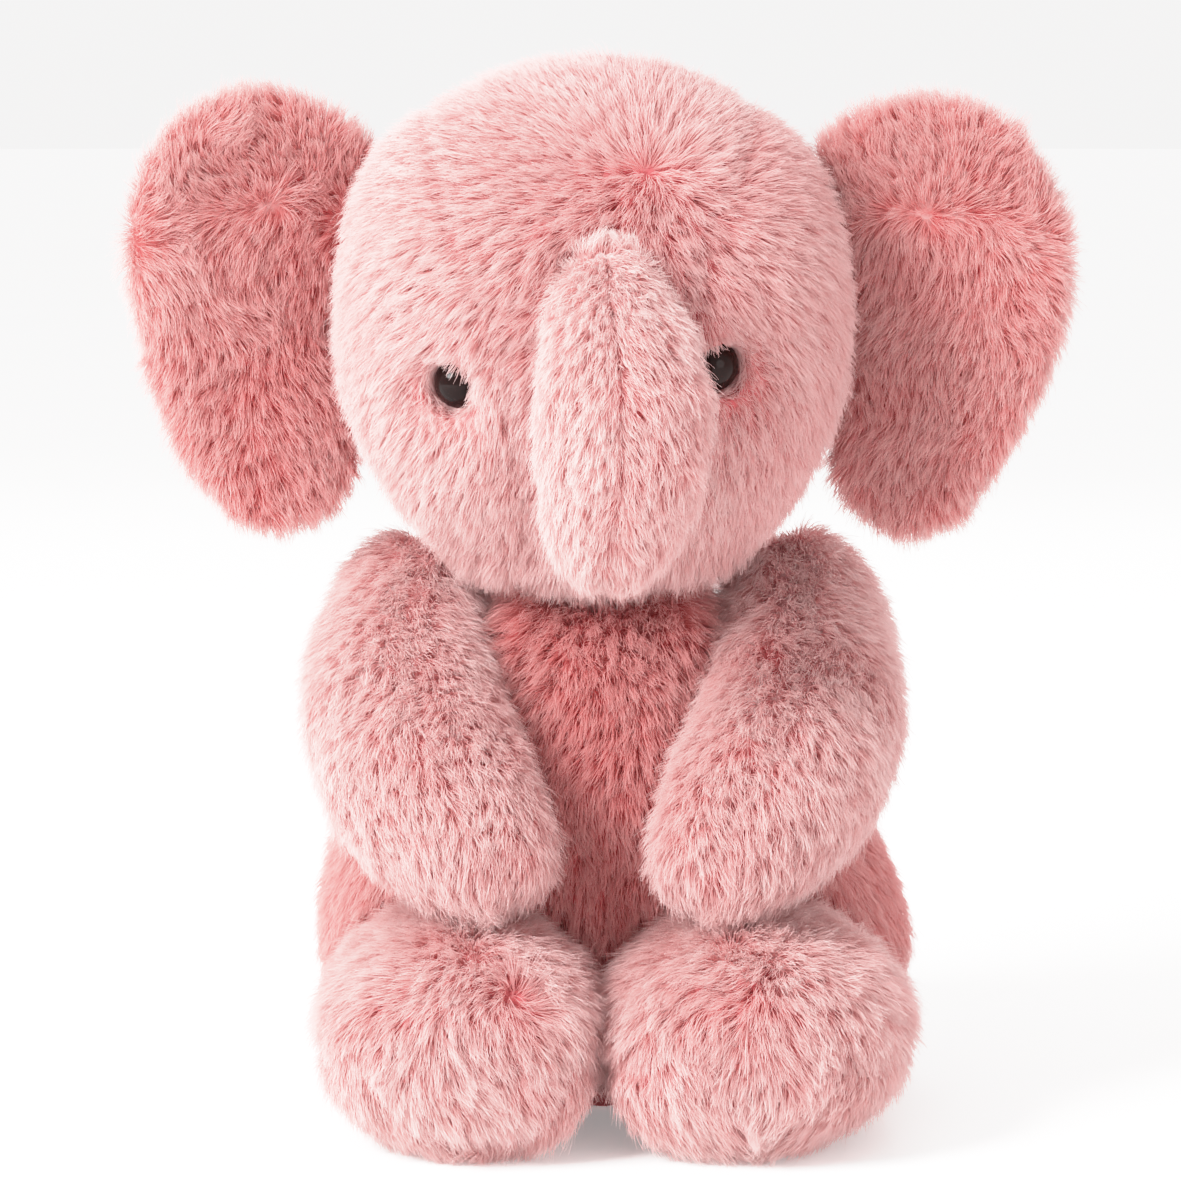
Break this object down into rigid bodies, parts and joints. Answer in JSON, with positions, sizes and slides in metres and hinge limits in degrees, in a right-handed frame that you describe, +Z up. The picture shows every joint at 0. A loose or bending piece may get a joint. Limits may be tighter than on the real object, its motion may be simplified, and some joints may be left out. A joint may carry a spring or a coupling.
{
  "type": "stuffed elephant",
  "caption": "Seated plush elephant with stuffed head, trunk, cupped ears, arms and legs that flex at their seams, domed eyes and a flat weighted base.",
  "frame": {"origin": "centre of the seat, on the flat underside of the torso", "axes": "+Z up; the face looks towards -Y; +X is the elephant's left"},
  "size_m": [0.2274, 0.1898, 0.2523],
  "materials": {
    "plush_pink": "long-pile plush, matte, lighter at the fibre tips",
    "plush_deep_pink": "long-pile plush, matte, seen in shade",
    "polyester_fill": "loose white polyester fibre",
    "eye_gloss": "polished black-brown moulding",
    "washer_plastic": "natural moulded plastic",
    "pouch_cloth": "thin white non-woven cloth",
    "pellets": "translucent white pellets",
    "label_ribbon": "white satin ribbon, blank"
  },
  "bodies": {
    "torso": {"torso_front": "plush_deep_pink", "torso_back_left": "plush_pink", "torso_back_right": "plush_pink", "torso_base": "plush_pink", "torso_stuffing": "polyester_fill", "pellet_pouch": "pouch_cloth", "pellet_fill": "pellets", "care_label": "label_ribbon"},
    "neck": {"neck_stuffing": "polyester_fill"},
    "head": {"head_side_left": "plush_pink", "head_side_right": "plush_pink", "head_gusset": "plush_pink", "head_chin": "plush_pink", "head_stuffing": "polyester_fill", "eye_left": "eye_gloss", "eye_right": "eye_gloss", "eye_washer_left": "washer_plastic", "eye_washer_right": "washer_plastic"},
    "trunk": {"trunk_panel_left": "plush_pink", "trunk_panel_right": "plush_pink", "trunk_stuffing": "polyester_fill"},
    "ear_left": {"ear_front_left": "plush_deep_pink", "ear_back_left": "plush_pink", "ear_wadding_left": "polyester_fill"},
    "arm_left": {"arm_outer_left": "plush_pink", "arm_inner_left": "plush_pink", "arm_stuffing_left": "polyester_fill"},
    "leg_left": {"leg_top_left": "plush_pink", "leg_under_left": "plush_pink", "leg_sole_left": "plush_pink", "leg_stuffing_left": "polyester_fill"},
    "ear_right": {"ear_front_right": "plush_deep_pink", "ear_back_right": "plush_pink", "ear_wadding_right": "polyester_fill"},
    "arm_right": {"arm_outer_right": "plush_pink", "arm_inner_right": "plush_pink", "arm_stuffing_right": "polyester_fill"},
    "leg_right": {"leg_top_right": "plush_pink", "leg_under_right": "plush_pink", "leg_sole_right": "plush_pink", "leg_stuffing_right": "polyester_fill"},
    "tail": {"tail_panel": "plush_pink", "tail_stuffing": "polyester_fill"}
  },
  "joints": [
    {"name": "head_turn", "type": "hinge", "parent": "torso", "child": "neck", "pos_m": [-0.002, -0.009, 0.129], "axis": [0, 0, 1], "range_deg": [-18, 18], "stiffness_Nm_per_rad": 0.9},
    {"name": "head_nod", "type": "hinge", "parent": "neck", "child": "head", "pos_m": [-0.002, -0.009, 0.129], "axis": [1, 0, 0], "range_deg": [-8, 4], "stiffness_Nm_per_rad": 1.2},
    {"name": "trunk_lift", "type": "hinge", "parent": "head", "child": "trunk", "pos_m": [0.00072, -0.08206, 0.202], "axis": [-0.9998, 0.0175, 0], "range_deg": [0, 35], "stiffness_Nm_per_rad": 0.15},
    {"name": "ear_left_flap", "type": "hinge", "parent": "head", "child": "ear_left", "pos_m": [0.0609, -0.0151, 0.19], "axis": [0, 0, -1], "range_deg": [-12, 30], "stiffness_Nm_per_rad": 0.12},
    {"name": "arm_left_raise", "type": "hinge", "parent": "torso", "child": "arm_left", "pos_m": [0.044, -0.009, 0.116], "axis": [-0.4, -0.9165, 0], "range_deg": [0, 50], "stiffness_Nm_per_rad": 0.25},
    {"name": "leg_left_swing", "type": "hinge", "parent": "torso", "child": "leg_left", "pos_m": [0.0335, -0.036, 0.0255], "axis": [-1, 0, 0], "range_deg": [-60, 0], "stiffness_Nm_per_rad": 0.6},
    {"name": "ear_right_flap", "type": "hinge", "parent": "head", "child": "ear_right", "pos_m": [-0.06508, -0.0129, 0.19], "axis": [0, 0, 1], "range_deg": [-12, 30], "stiffness_Nm_per_rad": 0.12},
    {"name": "arm_right_raise", "type": "hinge", "parent": "torso", "child": "arm_right", "pos_m": [-0.044, -0.009, 0.116], "axis": [-0.4, 0.9165, 0], "range_deg": [0, 50], "stiffness_Nm_per_rad": 0.25},
    {"name": "leg_right_swing", "type": "hinge", "parent": "torso", "child": "leg_right", "pos_m": [-0.0335, -0.036, 0.0255], "axis": [-1, 0, 0], "range_deg": [-60, 0], "stiffness_Nm_per_rad": 0.6},
    {"name": "tail_lift", "type": "hinge", "parent": "torso", "child": "tail", "pos_m": [0, 0.067, 0.042], "axis": [1, 0, 0], "range_deg": [0, 60], "stiffness_Nm_per_rad": 0.04}
  ]
}
